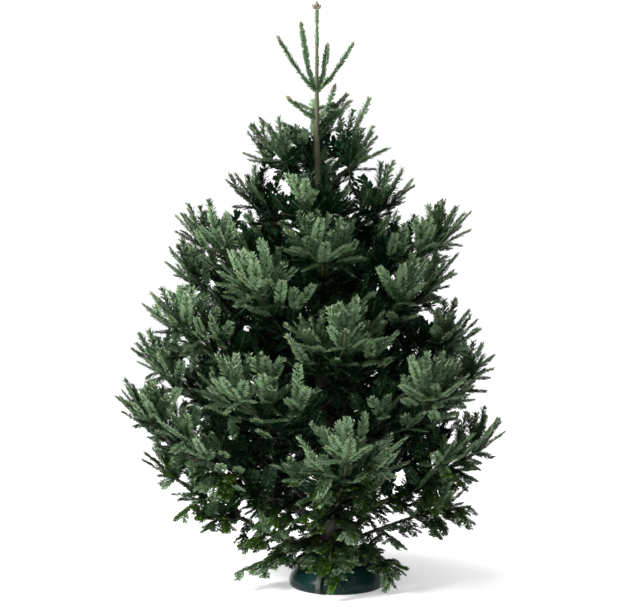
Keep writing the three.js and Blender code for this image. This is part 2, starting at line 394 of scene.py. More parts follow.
class Crown:
    """The crown's outline, for telling how deep in its shade a shoot would be."""

    BAND = 0.06
    BROAD = 0.36  # radius from which the crown shades its own middle
    DARKEST = 0.12  # light under which nothing grows, and how much more lets everything grow
    TWILIGHT = 0.35

    def __init__(self):
        co = np.concatenate([corners(n) for n in nodes_called("spray_", "low_spray_")])
        away = np.linalg.norm((co - TRUNK.centre(co[:, 2]))[:, :2], axis=1)
        self.heights = np.arange(co[:, 2].min(), co[:, 2].max(), self.BAND / 2)
        self.radii = [away[np.abs(co[:, 2] - h) < self.BAND].max(initial=0.05) for h in self.heights]

    def light(self, point):
        """1 at the crown's outline, and 0 at the trunk where the crown is broad."""
        away = np.linalg.norm((point - TRUNK.centre(point[2]))[:2])
        radius = np.interp(point[2], self.heights, self.radii)
        return float(1 - (radius - away) / max(radius, self.BROAD))

    def lit(self, point, rng):
        """Whether a shoot lives here: always near the outline, and seldom far inside."""
        return rng.random() < (self.light(point) - self.DARKEST) / self.TWILIGHT


class Grower:
    """Grows one bough's side branches, all those of one order before the next."""

    def __init__(self, room, rng, crowd, crown, droop=0.0):
        self.room, self.rng, self.crowd, self.crown, self.droop = room, rng, crowd, crown, droop
        self.shoots = []
        self.waiting = []

    def sprout(self, start, heading, lean, years, length):
        self.waiting.append(Sprout(start, heading, lean, years, length))

    def whorl(self, at, direction, up, years, length):
        """Side branches at the end of a year: a flat pair, and some above and below."""
        rng = self.rng
        young = years <= OLDEST_SIDE_SHOOTS
        for way in (1, -1):
            flat = turned(up, direction, rng.gauss(0, 0.14))
            heading = turned(direction, flat, way * SIDE_ANGLE * rng.uniform(0.85, 1.12))
            self.sprout(at, heading, up, years, length * rng.uniform(0.88, 1.05))
        across = unit(np.cross(direction, up))
        for lift, chance in ABOVE_AND_BELOW:
            if young and rng.random() < chance:
                tilted = turned(direction, across, lift * rng.uniform(0.6, 1.0))
                heading = turned(tilted, up, rng.choice((1, -1)) * rng.uniform(0.1, 0.6))
                self.sprout(at, heading, up, min(years, 2), length * rng.uniform(0.7, 0.95))

    def between(self, start, end, up, age, length):
        """Weaker side shoots part of the way along a year's growth."""
        rng = self.rng
        direction = unit(end - start)
        for share in BETWEEN_YEARS:
            for way in (1, -1):
                if rng.random() < BETWEEN_CHANCE:
                    heading = turned(direction, up, way * rng.uniform(0.75, 1.1))
                    heading = unit(heading + UPWARDS * rng.uniform(-0.35, 0.5))
                    self.sprout(start + (end - start) * share, heading, up, min(age, 2), length * 0.8)

    def grow(self):
        """Lets the waiting side branches grow, then their own, order by order."""
        for _ in range(ORDERS - 1):
            ready, self.waiting = self.waiting, []
            for sprout in ready:
                self.branch(sprout)

    def branch(self, sprout):
        """Grows a side branch for as many years as there is room, if there is any."""
        space = self.room.way_out(sprout.start, sprout.heading, sprout.years * sprout.length * 1.2)
        if space < SHORTEST:
            return
        years = max(1, min(sprout.years, round(space / sprout.length)))
        self.run(sprout, years, min(sprout.length, space / years))

    def run(self, sprout, years, step):
        """Grows a side branch for this many years, and sets out its own side branches."""
        rng, room = self.rng, self.room
        tone = rng.random()
        here, direction = sprout.start, sprout.heading
        for year in range(years):
            age = years - 1 - year
            rise = RISE[min(age, len(RISE) - 1)] * rng.uniform(0.5, 1.4) - self.droop
            bend = np.array([rng.gauss(0, 0.05), rng.gauss(0, 0.05), rise])
            direction = unit(direction + bend + OUTWARDS * room.out)
            there = here + direction * step * rng.uniform(0.88, 1.1)
            if not self.crowd.free(here, there) or (age == 0 and not self.crown.lit(there, rng)):
                return
            self.crowd.add(here, there)
            up = face_up(direction, sprout.lean)
            # Shoots deep in the crown are shaded: coarser needles, and a dark colour that paints their
            # shade.
            shaded = self.crown.light(there) < SHADE
            coarse, year_tone = (SHADE_COARSE, tone * SHADE_TONE) if shaded else (1.0, tone)
            self.shoots.append(Shoot(here, there, up, age, year_tone, coarse=coarse))
            if age:
                self.whorl(there, direction, up, age, step * YEARLY_LOSS)
            here = there

    def fill_gaps(self, tries, length):
        """Grows more shoots into free air: each from the nearest year's end towards a chance place."""
        for _ in range(tries):
            target = self.room.chance_place(self.rng)
            if not self.crowd.free(target, target) or not self.crown.lit(target, self.rng):
                continue
            source = self.nearest_end(target)
            if source is None:
                return
            apart = target - source.end
            distance = float(np.linalg.norm(apart))
            years = max(1, min(source.age, round(distance / length)))
            if SHORTEST < distance < length * (years + 0.75):
                heading = unit(apart - UPWARDS * 0.12 * distance)
                step = distance / years
                self.run(Sprout(source.end, heading, source.up, years, step), years, step)
        self.waiting = []

    def nearest_end(self, target):
        """The older shoot whose end is nearest to a place that doesn't lie behind it."""
        old = [s for s in self.shoots if s.age]
        if not old:
            return None
        apart = target - np.array([s.end for s in old])
        distance = np.linalg.norm(apart, axis=1)
        ahead = np.array([unit(s.end - s.start) for s in old])
        forward = np.sum(ahead * apart, axis=1) / distance
        cost = distance + 0.06 * np.maximum(0, 0.35 - forward)
        return old[int(cost.argmin())]


def grow_bough(room, rng, crowd, crown, settings):
    """One main bough from the trunk through its room: its limb, and all its shoots."""
    inward = room.inner - TRUNK.radius(float(room.foot[2])) * 0.7
    whole = room.length + inward
    years = max(2, round(whole / settings.shoot_length))
    shares = np.linspace(0.9, 1.08, years)  # later years grow a little more
    ends = whole * np.concatenate([[0], np.cumsum(shares) / shares.sum()]) - inward
    ends[-1] -= TIP_GAP
    points = room.line(ends)
    for i in range(1, years):
        points[i] += room.side * rng.gauss(0, 0.006) + UPWARDS * rng.gauss(0, 0.004)
    low = room.node.startswith("low_spray")
    grower = Grower(room, rng, crowd, crown, droop=LOW_DROOP if low else 0.0)
    tone = rng.random()
    for i in range(years):
        age = years - 1 - i
        direction = unit(points[i + 1] - points[i])
        up = face_up(direction, UPWARDS)
        grower.shoots.append(Shoot(points[i], points[i + 1], up, age, tone, wood=False))
        crowd.add(points[i], points[i + 1])
        length = (ends[i + 1] - ends[i]) * (LOW_SIDE_SHARE if low else SIDE_SHARE)
        if age and ends[i + 1] > BEARING:
            grower.whorl(points[i + 1], direction, up, age, length)
        if ends[i] > BEARING:
            grower.between(points[i], points[i + 1], up, age + 1, length * 0.7)
    grower.grow()
    grower.fill_gaps(round(room.size() * settings.infill), settings.shoot_length * 0.9)
    return limb_through(points), grower.shoots


LIMB_TIP, LIMB_YEARLY, LIMB_AGEING = 0.0016, 0.0010, 0.00009  # radius, and its growth with age


def limb_through(ends):
    """A smooth limb through a bough's yearly ends, thickening towards the trunk."""
    fine = 6  # rings for each year
    years = len(ends) - 1
    t = np.arange(years * fine + 1) / fine
    points = np.stack([smooth_line(t, ends[:, axis]) for axis in range(3)], -1)
    age = years - t
    radii = LIMB_TIP + LIMB_YEARLY * age + LIMB_AGEING * age**2
    return Limb(points, radii, np.clip(1 - age / 4, 0, 1))


def smooth_line(t, values):
    """Catmull-Rom through evenly spaced values."""
    padded = np.concatenate([[2 * values[0] - values[1]], values, [2 * values[-1] - values[-2]]])
    i = np.minimum(t.astype(int), len(values) - 2)
    f = t - i
    a, b, c, d = (padded[i + k] for k in range(4))
    return 0.5 * (2 * b + (c - a) * f + (2 * a - 5 * b + 4 * c - d) * f**2 + (3 * (b - c) + d - a) * f**3)


SPRIG_LENGTH = 0.042  # yearly growth of the hanging sprigs, and of those at the trunk's foot
FOOT_SPRIG_LENGTH = 0.045
HANGING_YEAR = 0.05
KNEE_SIDES = (1.2, -1.2, 0.5, -0.5, 1.9, -1.9)  # in side angles
SPRIG_HEIGHTS = ((0.165, 0.42, 0.008), (0.42, 1.56, 0.018))  # from, to and step up the trunk
FOOT_HEIGHTS = (0.135, 0.20, 0.005)
SHORT_BELOW, SMALL_BELOW, DROOPING_BELOW = 0.25, 0.35, 0.40  # heights of sprigs up the trunk
STEM_RISE, KNEE_RISE = 0.045, 0.015  # how far up the trunk a hanging sprig's stem starts, and its bend
SINGLE_GAP = 0.012  # how far single shoots start below their solid, and end short of it
BARE_INNER_BOUGH = (0.08, 0.46, 0.018)  # from, to and step along a low bough


def sprig(shoots, rng, start, direction, years, length, droop, size=0.8):
    """A small flat spray on a thin stem of its own, that droops as it grows."""
    tone = rng.random()
    for year in range(years):
        age = years - 1 - year
        direction = unit(direction + np.array([rng.gauss(0, 0.1), rng.gauss(0, 0.1), -droop]))
        end = start + direction * length * rng.uniform(0.85, 1.15)
        up = face_up(direction, UPWARDS)
        shoots.append(Shoot(start, end, up, age, tone, size=size))
        for way in (1, -1):
            if age and rng.random() < 0.85:
                heading = turned(direction, up, way * SIDE_ANGLE * rng.uniform(0.8, 1.2))
                heading = unit(heading - UPWARDS * droop * 0.6)
                sprig(shoots, rng, end, heading, min(age, 2), length * 0.8, droop, size)
        start = end


def grow_single(node, rng):
    """A single straight shoot on the young top, from the trunk's centre to its tip."""
    co = corners(node)
    middle = co.mean(0)
    axis = np.linalg.svd(co - middle)[2][0]
    axis = axis * np.sign(axis[2])
    along = (co - middle) @ axis
    foot, tip = middle + axis * along.min(), middle + axis * (along.max() - SINGLE_GAP)
    start = TRUNK.centre(foot[2] - SINGLE_GAP)
    bend = foot + (tip - foot) * 0.3
    # A high tone gives these top shoots the fresh colour: painted light on the crown's lit top.
    tone = rng.uniform(0.5, 1.0)
    needles = {"cover": 2.2, "size": 0.75, "spread": 0.75, "brush": 0.9}
    return [
        Shoot(a, b, face_up(unit(b - a), UPWARDS), 0, tone, bud=bud, **needles)
        for a, b, bud in ((start, bend, 0), (bend, tip, 2.4))
    ]


def grow_hanging(node, rng):
    """A weak sprig that hangs beside the stand on a thin bare stem from the trunk."""
    room = Room(node)
    root = TRUNK.centre(float(room.foot[2]) + STEM_RISE)
    stem_end = room.line(0.0)
    knee = (root + stem_end) / 2 + UPWARDS * KNEE_RISE
    tone = rng.uniform(0.6, 0.9)
    shoots = []
    for a, b, age in ((root, knee, 5), (knee, stem_end, 4)):
        up = face_up(unit(b - a), UPWARDS)
        shoots.append(Shoot(a, b, up, age, tone, cover=0.0))
        for way in KNEE_SIDES:
            heading = turned(unit(b - a), up, way * SIDE_ANGLE)
            sprig(shoots, rng, b, heading, 2, SPRIG_LENGTH, 0.1)
    years = max(2, round(room.length / HANGING_YEAR))
    ends = room.line(np.linspace(0, room.length - TIP_GAP, years + 1))
    for year in range(years):
        age = years - 1 - year
        direction = unit(ends[year + 1] - ends[year])
        up = face_up(direction, UPWARDS)
        shoots.append(Shoot(ends[year], ends[year + 1], up, age, tone, size=0.85))
        for way in (1, -1):
            heading = unit(turned(direction, up, way * SIDE_ANGLE) - UPWARDS * 0.25)
            sprig(shoots, rng, ends[year + 1], heading, min(2, max(1, age)), SPRIG_LENGTH, 0.2)
    return shoots


def grow_leader():
    """The needles that lie close round the leader, as shoots with no wood of their own."""
    buds = (0, 0, 0, 0, 0, 3.6)
    heights = np.linspace(LEADER_FOOT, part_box("trunk")[1].z - 0.026, len(buds) + 1)
    centres = TRUNK.centre(heights)
    front = np.array([0.0, -1.0, 0.0])
    # The leader's tone of 0.7 gives its needles the fresh colour: painted light on the lit top.
    return [
        Shoot(a, b, front, 0, 0.7, False, cover=1.3, size=0.7, spread=0.5, brush=1.0, bud=bud)
        for a, b, bud in zip(centres, centres[1:], buds)
    ]


def sprig_sector(height):
    """The azimuths that bear sprigs: all round the trunk, but not the front of its young top."""
    if height <= YOUNG_TOP:
        return 0, 2 * math.pi
    return (-0.6, 3.4) if height < LEADER_FOOT else (-0.6, 1.8)


def grow_trunk_sprigs(rng):
    """Weak sprigs straight from the trunk between the whorls, and stronger ones on its young top."""
    shoots = []
    for height in np.concatenate([np.arange(*band) for band in SPRIG_HEIGHTS]):
        start, out = TRUNK.foothold(height, rng.uniform(*sprig_sector(height)))
        droop = 0.25 if height < DROOPING_BELOW else 0.0
        rise = rng.uniform(0.7, 1.3) if height > YOUNG_TOP else rng.uniform(0.1, 0.6)
        length = FOOT_SPRIG_LENGTH if height < SHORT_BELOW else 0.075
        size = 0.8 if height < SMALL_BELOW else 1.0
        sprig(shoots, rng, start, unit(out + UPWARDS * rise), 2, length, droop, size)
    return shoots


def grow_foot_sprigs(rng):
    """Weak sprigs that hang over the front of the stand from the trunk's foot."""
    shoots = []
    for height in np.arange(*FOOT_HEIGHTS):
        start, out = TRUNK.foothold(height, rng.uniform(-2.9, -0.8))
        heading = unit(out + UPWARDS * rng.uniform(-0.25, 0.1))
        sprig(shoots, rng, start, heading, 3, FOOT_SPRIG_LENGTH, 0.25)
    return shoots


def grow_bough_sprigs(limb, rng):
    """Weak drooping sprigs along the bare inner part of a low bough."""
    shoots = []
    distance = np.linalg.norm(np.diff(limb.points, axis=0), axis=1)
    along = np.concatenate([[0], np.cumsum(distance)])
    ahead = unit(limb.points[-1] - limb.points[0])
    for place in np.arange(*BARE_INNER_BOUGH):
        at = np.array([np.interp(place, along, limb.points[:, axis]) for axis in range(3)])
        side = np.cross(ahead, UPWARDS) * rng.choice((1, -1))
        heading = unit(side + ahead * rng.uniform(0.2, 0.9) + UPWARDS * rng.uniform(-0.8, 0.2))
        sprig(shoots, rng, at, heading, rng.choice((1, 2, 2, 3)), 0.05, 0.2)
    return shoots


@lru_cache(maxsize=1)
def grown_tree():
    """Every shoot by the mass it grows in, and every limb."""
    settings = bpy.context.scene.fir_foliage
    crowd, crown = Crowd(settings.shoot_gap), Crown()
    shoots, limbs = {}, []

    def chances(name):
        return random.Random(f"{settings.seed} {name}")

    for node in nodes_called("spray_", "low_spray_"):
        rng = chances(node)
        limb, shoots[node] = grow_bough(Room(node), rng, crowd, crown, settings)
        limbs.append(limb)
        if node.startswith(("low_spray_", "spray_1_")):
            shoots[node] += grow_bough_sprigs(limb, rng)
    for node in nodes_called("upper_shoot_", "top_shoot_"):
        shoots[node] = grow_single(node, chances(node))
    for node in nodes_called("hanging_sprig_"):
        shoots[node] = grow_hanging(node, chances(node))
    shoots["top_shoot_1"] += grow_leader()
    shoots["spray_2_1"] += grow_trunk_sprigs(chances("trunk")) + grow_foot_sprigs(chances("foot"))
    return shoots, limbs


def all_shoots():
    return [shoot for group in grown_tree()[0].values() for shoot in group]


# ---------------------------------------------------------------- joined meshes


def joined_mesh(name, points, triangles, material_index, materials):
    """An object from arrays of points and triangles, with a material for each triangle."""
    mesh = bpy.data.meshes.new(name)
    mesh.vertices.add(len(points))
    mesh.vertices.foreach_set("co", points.astype(np.float32).ravel())
    mesh.loops.add(triangles.size)
    mesh.loops.foreach_set("vertex_index", triangles.astype(np.int32).ravel())
    mesh.polygons.add(len(triangles))
    mesh.polygons.foreach_set("loop_start", np.arange(0, triangles.size, 3, dtype=np.int32))
    mesh.polygons.foreach_set("material_index", material_index.astype(np.int32))
    for material in materials:
        mesh.materials.append(material)
    mesh.update(calc_edges=True)
    return placed(name, mesh)


def placed(name, data):
    """An object in the scene that holds this mesh, light or camera."""
    piece = bpy.data.objects.new(name, data)
    bpy.context.scene.collection.objects.link(piece)
    return piece


def rows(v):
    """Unit rows."""
    return v / np.maximum(1e-9, np.linalg.norm(v, axis=1, keepdims=True))


def gathered(shoots, *names):
    """An array for each of these values, with a row for each shoot."""
    return [np.array([getattr(shoot, name) for shoot in shoots], float) for name in names]


def repeated(corner, each, count):
    """The same triangles for each of many small shapes that have this many points each."""
    return (np.array(corner)[None] + each * np.arange(count)[:, None, None]).reshape(-1, 3)


# Share of full needle cover that is left at each age in years.
COVER_BY_AGE = (1.0, 1.0, 0.85, 0.6, 0.35, 0.15, 0.0)

OLD_AND_PAINTED_SHADE, MIDDLING, FRESH_AND_PAINTED_LIGHT, YELLOW, PALE, PAINTED_SHADE_BELOW = range(6)


class NeedleBed:
    """All the needles on some shoots: each array has a row for each needle."""

    OVER_SHARE, BELOW_SHARE = 0.46, 0.10
    OVER_SPREAD, BELOW_SPREAD, SIDE_SPREAD = 0.62, 0.60, 0.95
    OVER_LENGTH, BELOW_LENGTH = 0.75, 0.6
    SIDE_LIFT = (0.06, 0.12)  # mean and deviation
    OVER_LIFT, BELOW_LIFT, ANY_LIFT = (0.5, 1.45), (-1.3, -0.4), (-1.55, 1.55)
    STEEP_FROM, STEEP_OVER = 0.80, 0.15  # steep shoots bear needles all round
    CLOSED_TIP = 0.28  # how much nearer the needles at this year's tips lie to the shoot
    BROADEST = 0.7  # share of the length
    FOLD = 0.35  # share of half the width
    PALE_FROM, PALE_SHARE = 0.8, 0.3
    BRIGHT_TONE, DARK_TONE, YELLOW_TONE = 0.45, 0.40, 0.72
    BLADE = ((0, 1, 2), (0, 2, 3))

    def __init__(self, shoots, settings, rng):
        self.settings, self.rng = settings, rng
        start, end, up = gathered(shoots, "start", "end", "up")
        age, coarse, cover = gathered(shoots, "age", "coarse", "cover")
        length = np.linalg.norm(end - start, axis=1)
        by_age = np.interp(age, range(len(COVER_BY_AGE)), COVER_BY_AGE)
        count = np.round(length / settings.needle_pitch * by_age * cover / coarse).astype(int)
        own = np.repeat(np.arange(len(shoots)), count)
        self.total = len(own)
        self.nth = np.arange(self.total) - np.repeat(np.cumsum(count) - count, count)
        self.t = (self.nth + rng.random(self.total)) / np.maximum(1, count[own])
        self.root = start[own] + (end - start)[own] * self.t[:, None]
        self.along, self.above = rows(end - start)[own], up[own]
        self.age, self.coarse = age[own], coarse[own]
        others = gathered(shoots, "tone", "size", "spread", "brush")
        self.tone, self.size, self.hug, self.brush = (values[own] for values in others)
        kind = rng.random(self.total)
        self.over = kind < self.OVER_SHARE
        self.below = kind > 1 - self.BELOW_SHARE

    def by_kind(self, over, below, side):
        return np.where(self.over, over, np.where(self.below, below, side))

    def directions(self):
        """Which way each needle points and faces: most to the two sides, others over the top or below."""
        rng, total = self.rng, self.total
        way = np.where(self.nth % 2, 1.0, -1.0)
        steep = np.clip((np.abs(self.along[:, 2]) - self.STEEP_FROM) / self.STEEP_OVER, 0, 1)
        steep = np.maximum(self.brush, steep)
        lift = rng.normal(*self.SIDE_LIFT, total)
        lift = np.where(self.over, rng.uniform(*self.OVER_LIFT, total), lift)
        lift = np.where(self.below, rng.uniform(*self.BELOW_LIFT, total), lift)
        lift = np.where(rng.random(total) < steep, rng.uniform(*self.ANY_LIFT, total), lift)
        spread = self.by_kind(self.OVER_SPREAD, self.BELOW_SPREAD, self.SIDE_SPREAD)
        spread = spread - self.CLOSED_TIP * self.t**4 * (self.age == 0) - 0.05 * self.t
        spread = (spread + rng.normal(0, 0.05, total)) * self.hug
        across = np.cross(self.along, self.above)
        outward = across * (way * np.cos(lift))[:, None] + self.above * np.sin(lift)[:, None]
        direction = rows(self.along * np.cos(spread)[:, None] + outward * np.sin(spread)[:, None])
        lean = outward * np.where(self.over, 0.5, 0.9 * steep)[:, None]
        face = self.above + lean + rng.normal(0, 0.16, (total, 3))
        return direction, rows(face - direction * np.sum(face * direction, axis=1, keepdims=True))

    def blades(self):
        """Points and triangles of the needles, each two faces that fold down from its middle line."""
        direction, face = self.directions()
        rng, total = self.rng, self.total
        longest = 0.62 + 0.38 * np.sin(np.pi * (0.12 + 0.75 * self.t))
        size = self.size * self.settings.needle_length * longest
        size = size * rng.uniform(0.9, 1.06, total) * self.by_kind(self.OVER_LENGTH, self.BELOW_LENGTH, 1.0)
        size = size * (0.8 + 0.2 * self.coarse)
        half = (self.settings.needle_width * self.coarse * rng.uniform(0.85, 1.15, total) / 2)[:, None]
        broadest = self.root + direction * (size * self.BROADEST)[:, None] - face * half * self.FOLD
        edge = np.cross(direction, face) * half
        tip = self.root + direction * size[:, None]
        points = np.stack([self.root, broadest + edge, tip, broadest - edge], 1)
        return points.reshape(-1, 3), repeated(self.BLADE, 4, total)

    def colours(self):
        """The number of each needle's colour, by its age, height and shoot, with painted shade on shaded
        shoots and below each shoot, and painted light on fresh outer shoots.
        """
        shaded = self.coarse > 1
        # Old needles, and all needles on shoots deep in the crown, take the dark colour; on the deep shoots
        # it is painted shade.
        colour = np.where((self.age > 1) | shaded, OLD_AND_PAINTED_SHADE, MIDDLING)
        # This year's outer shoots with a high tone take the fresh colour: partly new growth, partly painted
        # light on the crown's outside.
        colour = np.where((self.age == 0) & (self.tone > self.BRIGHT_TONE) & ~shaded, FRESH_AND_PAINTED_LIGHT, colour)
        colour = np.where((self.age == 1) & (self.tone < self.DARK_TONE), OLD_AND_PAINTED_SHADE, colour)
        low = self.root[:, 2] < LOWEST_NEEDLES
        colour = np.where(low & (self.tone > self.YELLOW_TONE), YELLOW, colour)
        # Needles below a shoot take a dark colour: painted shade under the spray.
        colour = np.where(self.below, PAINTED_SHADE_BELOW, colour)
        at_tip = (self.age == 0) & ~shaded & (self.t > self.PALE_FROM)
        return np.where(at_tip & (self.rng.random(self.total) < self.PALE_SHARE), PALE, colour)


def needles_on(shoots, settings, rng):
    """Points, triangles and material numbers of all the needles on these shoots."""
    bed = NeedleBed(shoots, settings, rng)
    points, triangles = bed.blades()
    return points, triangles, np.repeat(bed.colours(), len(bed.BLADE))


TWIG_SIDES = 5
TWIG_FOOT, TWIG_TIP = 0.00175, 0.0011  # radii of this year's twigs
TWIG_YEARLY = 0.00055


def twigs_on(shoots):
    """Points and triangles of the twigs, as closed tapering prisms, and which are young."""
    woody = [s for s in shoots if s.wood]
    start, end, up, age = gathered(woody, "start", "end", "up", "age")
    along = rows(end - start)
    across = np.cross(along, up)
    n = TWIG_SIDES
    turn = np.arange(n) * 2 * np.pi / n
    ring = across[:, None] * np.cos(turn)[None, :, None] + up[:, None] * np.sin(turn)[None, :, None]
    thick = TWIG_FOOT + TWIG_YEARLY * age
    thin = TWIG_TIP + TWIG_YEARLY * age
    foot = start[:, None] + ring * thick[:, None, None]
    head = (end + along * 0.001)[:, None] + ring * thin[:, None, None]
    points = np.concatenate([foot, head], 1)
    faces = []
    for k in range(n):
        after = (k + 1) % n
        faces += [[k, n + k, after], [after, n + k, n + after]]
    for k in range(1, n - 1):
        faces += [[0, k, k + 1], [n, n + k + 1, n + k]]
    young = np.repeat(np.where(age < 2, 1, 0), len(faces))
    return points.reshape(-1, 3), repeated(faces, 2 * n, len(woody)), young


# Which way a bud leans from its shoot, its size against the end bud, and whether weak shoots have it.
BUDS = ((0, 1.0, True), (1, 0.72, False), (-1, 0.72, False))
BUD_GIRTH, BUD_POINT, BUD_FOOT, BUD_RISE = 0.0026, 0.0048, 0.0050, 0.0045
BUD_FACES = ((2, 0, 4), (1, 2, 4), (3, 1, 4), (0, 3, 4), (0, 2, 5), (2, 1, 5), (1, 3, 5), (3, 0, 5))


def buds_on(shoots, rng):
    """Points and triangles of the buds at this year's tips: one on each, and three on strong shoots."""
    tips = [s for s in shoots if s.age == 0 and s.bud > 0]
    start, end, up, scale = gathered(tips, "start", "end", "up", "bud")
    along = rows(end - start)
    across = np.cross(along, up)
    points = []
    for way, share, on_all in BUDS:
        bears = scale > (0 if on_all else 1)
        axis = rows((along + across * way * 0.9)[bears])
        side = rows(np.cross(axis, up[bears]))
        lift = np.cross(side, axis) * BUD_GIRTH
        side = side * BUD_GIRTH
        size = (share * scale[bears] * rng.uniform(0.85, 1.15, len(axis)))[:, None]
        centre = end[bears] + axis * BUD_RISE * size
        offsets = [side, -side, lift, -lift, axis * BUD_POINT, -axis * BUD_FOOT]
        points.append(np.stack([centre + offset * size for offset in offsets], 1).reshape(-1, 3))
    points = np.concatenate(points)
    return points, repeated(BUD_FACES, 6, len(points) // 6)


# ---------------------------------------------------------------- materials


def plain(name, colour, roughness, gloss=0.5):
    """A material that is the same all over, for the many small faces of needles and twigs."""
    material = bpy.data.materials.new(name)
    material.use_nodes = True
    shader = material.node_tree.nodes["Principled BSDF"]
    shader.inputs["Base Color"].default_value = (*colour, 1)
    shader.inputs["Roughness"].default_value = roughness
    shader.inputs["Specular IOR Level"].default_value = gloss
    return material


class Graph:
    """Short ways to add and join nodes in one material."""

    def __init__(self, name):
        self.material = bpy.data.materials.new(name)
        self.material.use_nodes = True
        self.nodes = self.material.node_tree.nodes
        self.links = self.material.node_tree.links
        self.shader = self.nodes["Principled BSDF"]
        self.place = self.nodes.new("ShaderNodeTexCoord").outputs["Object"]

    def put(self, socket, value):
        if isinstance(value, bpy.types.NodeSocket):
            self.links.new(value, socket)
        else:
            socket.default_value = value

    def noise(self, scale, detail=4.0, rough=0.55, stretch=(1, 1, 1)):
        mapping = self.nodes.new("ShaderNodeMapping")
        mapping.inputs["Scale"].default_value = stretch
        self.links.new(self.place, mapping.inputs["Vector"])
        texture = self.nodes.new("ShaderNodeTexNoise")
        self.links.new(mapping.outputs["Vector"], texture.inputs["Vector"])
        texture.inputs["Scale"].default_value = scale
        texture.inputs["Detail"].default_value = detail
        texture.inputs["Roughness"].default_value = rough
        return texture.outputs["Fac"]

    def rescaled(self, factor, end, low, high):
        node = self.nodes.new("ShaderNodeMapRange")
        self.links.new(factor, node.inputs["Value"])
        node.inputs[f"{end} Min"].default_value = low
        node.inputs[f"{end} Max"].default_value = high
        return node.outputs["Result"]

    def ramp(self, factor, low, high):
        """0 to 1 as the factor goes from low to high."""
        return self.rescaled(factor, "From", low, high)

    def spread(self, factor, low, high):
        """low to high as the factor goes from 0 to 1."""
        return self.rescaled(factor, "To", low, high)

    def mix(self, factor, a, b):
        """A colour from a to b, each a plain colour or another node's."""
        node = self.nodes.new("ShaderNodeMix")
        node.data_type = "RGBA"
        self.put(node.inputs["Factor"], factor)
        for name, tint in (("A", a), ("B", b)):
            self.put(node.inputs[name], tint if isinstance(tint, bpy.types.NodeSocket) else (*tint, 1))
        return node.outputs["Result"]

    def attribute(self, name):
        node = self.nodes.new("ShaderNodeAttribute")
        node.attribute_name = name
        return node.outputs["Fac"]

    def bump(self, height, distance, strength=1.0):
        node = self.nodes.new("ShaderNodeBump")
        node.inputs["Distance"].default_value = distance
        node.inputs["Strength"].default_value = strength
        self.links.new(height, node.inputs["Height"])
        self.links.new(node.outputs["Normal"], self.shader.inputs["Normal"])


BARK_BLOTCH = (0.045, 0.040, 0.034)
BARK_SPECK = (0.17, 0.145, 0.11)


def bark_material(settings):
    """Smooth young fir bark: grey-brown and finely wrinkled, warmer and greener where it is young."""
    g = Graph("fir_bark")
    youth = g.attribute("youth")
    patches = g.ramp(g.noise(28, 5, 0.6, (1, 1, 0.45)), 0.35, 0.68)
    specks = g.ramp(g.noise(210, 3, 0.6, (0.5, 0.5, 1.6)), 0.52, 0.7)
    aged = g.mix(youth, settings.old_bark, settings.young_bark)
    blotched = g.mix(g.spread(patches, 0, 0.5), aged, BARK_BLOTCH)
    speckled = g.mix(g.spread(specks, 0, 0.35), blotched, BARK_SPECK)
    g.put(g.shader.inputs["Base Color"], speckled)
    g.put(g.shader.inputs["Roughness"], g.spread(patches, 0.62, 0.88))
    g.bump(g.noise(170, 6, 0.65, (0.6, 0.6, 1.5)), 0.0012, 0.8)
    return g.material


def shell_material(settings):
    """Glossy moulded plastic, a little clouded and scuffed."""
    g = Graph("stand_plastic")
    cloud = g.noise(9, 3)
    deep = [c * 0.6 for c in settings.shell]
    g.put(g.shader.inputs["Base Color"], g.mix(g.ramp(cloud, 0.3, 0.7), deep, settings.shell))
    scuffs = g.ramp(g.noise(60, 6, 0.7), 0.5, 0.75)
    g.put(g.shader.inputs["Roughness"], g.spread(scuffs, 0.22, 0.42))
    g.shader.inputs["Specular IOR Level"].default_value = 0.14
    g.bump(g.noise(380, 2), 0.0003, 0.35)
    return g.material


def fittings_material(settings):
    """Black plastic with a fine moulded grain."""
    g = Graph("stand_fittings")
    tint = g.ramp(g.noise(45, 4), 0.35, 0.7)
    worn = [c * 2.6 + 0.01 for c in settings.fittings]
    g.put(g.shader.inputs["Base Color"], g.mix(tint, settings.fittings, worn))
    g.put(g.shader.inputs["Roughness"], g.spread(tint, 0.38, 0.58))
    g.bump(g.noise(650, 2), 0.0002, 0.5)
    return g.material


# ---------------------------------------------------------------- limbs by bmesh


def add_limb(bm, youth_layer, line, sides, relief):
    """Extrudes a ring along a line into a closed tapering limb with uneven bark."""
    points = [Vector(p) for p in line.points]
    first = Vector(unit(line.points[1] - line.points[0]))
    square = Matrix.Translation(points[0]) @ first.to_track_quat("Z", "X").to_matrix().to_4x4()
    ring = bmesh.ops.create_circle(bm, cap_ends=False, segments=sides, radius=1.0, matrix=square)["verts"]
    shape_ring(ring, points[0], line.radii[0], line.youth[0], youth_layer, relief)
    edges = list({e for v in ring for e in v.link_edges})
    first_edges = edges
    for i in range(1, len(points)):
        extruded = bmesh.ops.extrude_edge_only(bm, edges=edges)["geom"]
        ring = [g for g in extruded if isinstance(g, bmesh.types.BMVert)]
        edges = [g for g in extruded if isinstance(g, bmesh.types.BMEdge)]
        ahead = unit(line.points[min(i + 1, len(points) - 1)] - line.points[i - 1])
        before = unit(line.points[i] - line.points[max(i - 2, 0)])
        bmesh.ops.translate(bm, verts=ring, vec=points[i] - points[i - 1])
        if i > 1:
            turn = Vector(before).rotation_difference(Vector(ahead)).to_matrix()
            bmesh.ops.rotate(bm, verts=ring, cent=points[i], matrix=turn)
        shape_ring(ring, points[i], line.radii[i], line.youth[i], youth_layer, relief)
    bmesh.ops.contextual_create(bm, geom=edges)
    bmesh.ops.contextual_create(bm, geom=first_edges)


